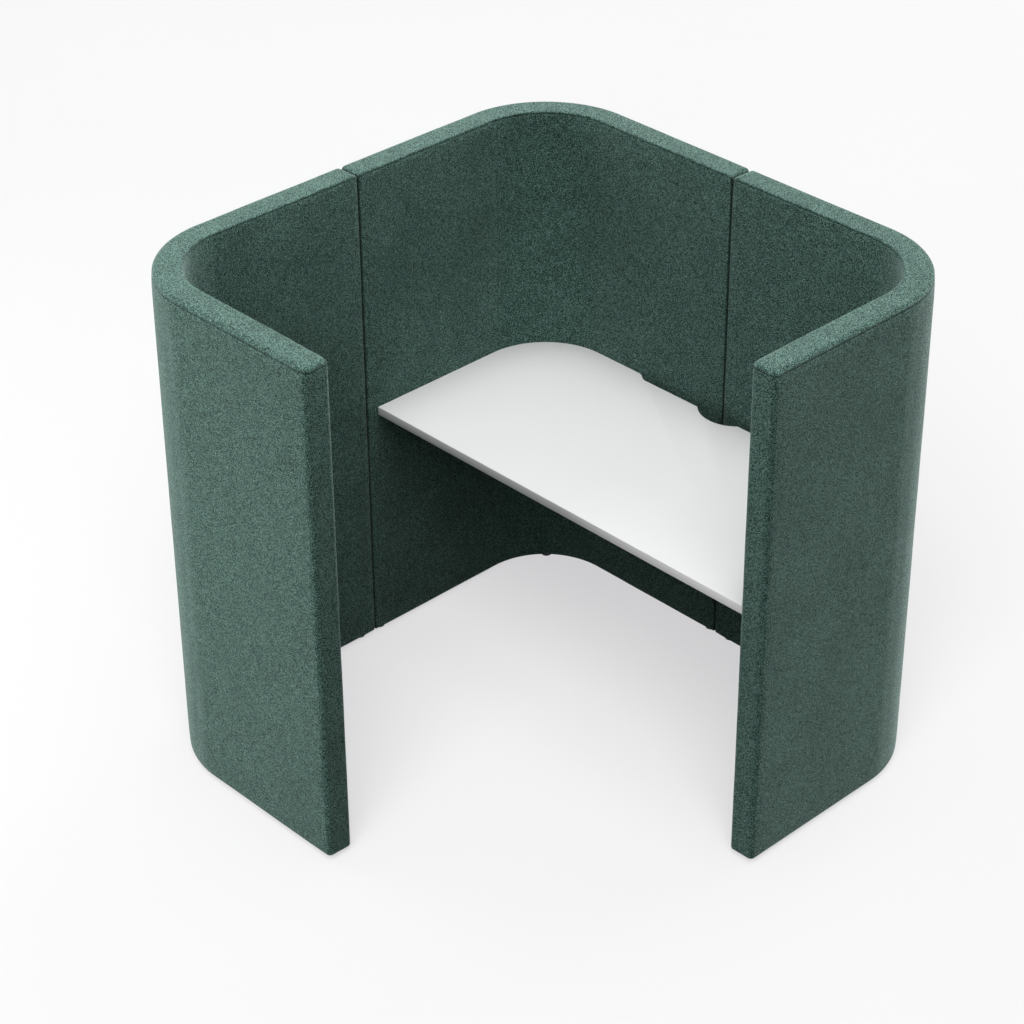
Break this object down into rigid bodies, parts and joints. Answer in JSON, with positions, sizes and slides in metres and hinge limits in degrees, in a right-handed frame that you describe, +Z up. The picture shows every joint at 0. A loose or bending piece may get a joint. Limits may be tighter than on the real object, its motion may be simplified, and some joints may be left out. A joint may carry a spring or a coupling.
{
  "type": "study carrel",
  "caption": "Round-cornered upholstered study carrel: bent padded panel modules joined at upright seams around a fitted desk, open at one corner, on levelling glides.",
  "frame": {"origin": "on the floor under the middle of the rounded square that the panels' outer faces make", "axes": "+Z up; +Y towards the wall that the user faces, behind the desk; the open corner (entrance) is at +X, -Y"},
  "size_m": [1.52, 1.52, 1.45],
  "materials": {
    "felt_fabric": "melange wool felt, dark grey-green",
    "foam": "open-cell acoustic foam",
    "plywood": "raw birch plywood",
    "white_laminate": "matt white laminate on board",
    "black_plastic": "matt black glass-filled nylon",
    "steel": "zinc-plated",
    "painted_steel": "matt black powder coat"
  },
  "bodies": {
    "carrel": {"cover_left": "felt_fabric", "foam_outer_left": "foam", "foam_inner_left": "foam", "core_panel_left": "plywood", "base_board_left": "plywood", "top_board_left": "plywood", "post_a_left": "plywood", "post_b_left": "plywood", "cover_back": "felt_fabric", "foam_outer_back": "foam", "foam_inner_back": "foam", "core_panel_back": "plywood", "base_board_back": "plywood", "top_board_back": "plywood", "post_a_back": "plywood", "post_b_back": "plywood", "cover_right": "felt_fabric", "foam_outer_right": "foam", "foam_inner_right": "foam", "core_panel_right": "plywood", "base_board_right": "plywood", "top_board_right": "plywood", "post_a_right": "plywood", "post_b_right": "plywood", "insert_left_front": "steel", "insert_left_corner": "steel", "insert_left_seam": "steel", "insert_back_seam_left": "steel", "insert_back_corner": "steel", "insert_back_seam_right": "steel", "insert_right_seam": "steel", "insert_right_corner": "steel", "insert_right_front": "steel", "seam_bolt_left_lower": "steel", "seam_bolt_left_upper": "steel", "seam_bolt_right_lower": "steel", "seam_bolt_right_upper": "steel", "desk_top": "white_laminate", "bracket_left": "painted_steel", "desk_screw_left": "steel", "wall_screw_left": "steel", "bracket_rear_left": "painted_steel", "desk_screw_rear_left": "steel", "wall_screw_rear_left": "steel", "bracket_rear_right": "painted_steel", "desk_screw_rear_right": "steel", "wall_screw_rear_right": "steel", "bracket_right": "painted_steel", "desk_screw_right": "steel", "wall_screw_right": "steel"},
    "glide_left_front": {"glide_left_front": "black_plastic"},
    "glide_left_corner": {"glide_left_corner": "black_plastic"},
    "glide_left_seam": {"glide_left_seam": "black_plastic"},
    "glide_back_seam_left": {"glide_back_seam_left": "black_plastic"},
    "glide_back_corner": {"glide_back_corner": "black_plastic"},
    "glide_back_seam_right": {"glide_back_seam_right": "black_plastic"},
    "glide_right_seam": {"glide_right_seam": "black_plastic"},
    "glide_right_corner": {"glide_right_corner": "black_plastic"},
    "glide_right_front": {"glide_right_front": "black_plastic"}
  },
  "joints": [
    {"name": "glide_left_front_level", "type": "slide", "parent": "carrel", "child": "glide_left_front", "axis": [0, 0, -1], "range_m": [0, 0.012]},
    {"name": "glide_left_corner_level", "type": "slide", "parent": "carrel", "child": "glide_left_corner", "axis": [0, 0, -1], "range_m": [0, 0.012]},
    {"name": "glide_left_seam_level", "type": "slide", "parent": "carrel", "child": "glide_left_seam", "axis": [0, 0, -1], "range_m": [0, 0.012]},
    {"name": "glide_back_seam_left_level", "type": "slide", "parent": "carrel", "child": "glide_back_seam_left", "axis": [0, 0, -1], "range_m": [0, 0.012]},
    {"name": "glide_back_corner_level", "type": "slide", "parent": "carrel", "child": "glide_back_corner", "axis": [0, 0, -1], "range_m": [0, 0.012]},
    {"name": "glide_back_seam_right_level", "type": "slide", "parent": "carrel", "child": "glide_back_seam_right", "axis": [0, 0, -1], "range_m": [0, 0.012]},
    {"name": "glide_right_seam_level", "type": "slide", "parent": "carrel", "child": "glide_right_seam", "axis": [0, 0, -1], "range_m": [0, 0.012]},
    {"name": "glide_right_corner_level", "type": "slide", "parent": "carrel", "child": "glide_right_corner", "axis": [0, 0, -1], "range_m": [0, 0.012]},
    {"name": "glide_right_front_level", "type": "slide", "parent": "carrel", "child": "glide_right_front", "axis": [0, 0, -1], "range_m": [0, 0.012]}
  ]
}
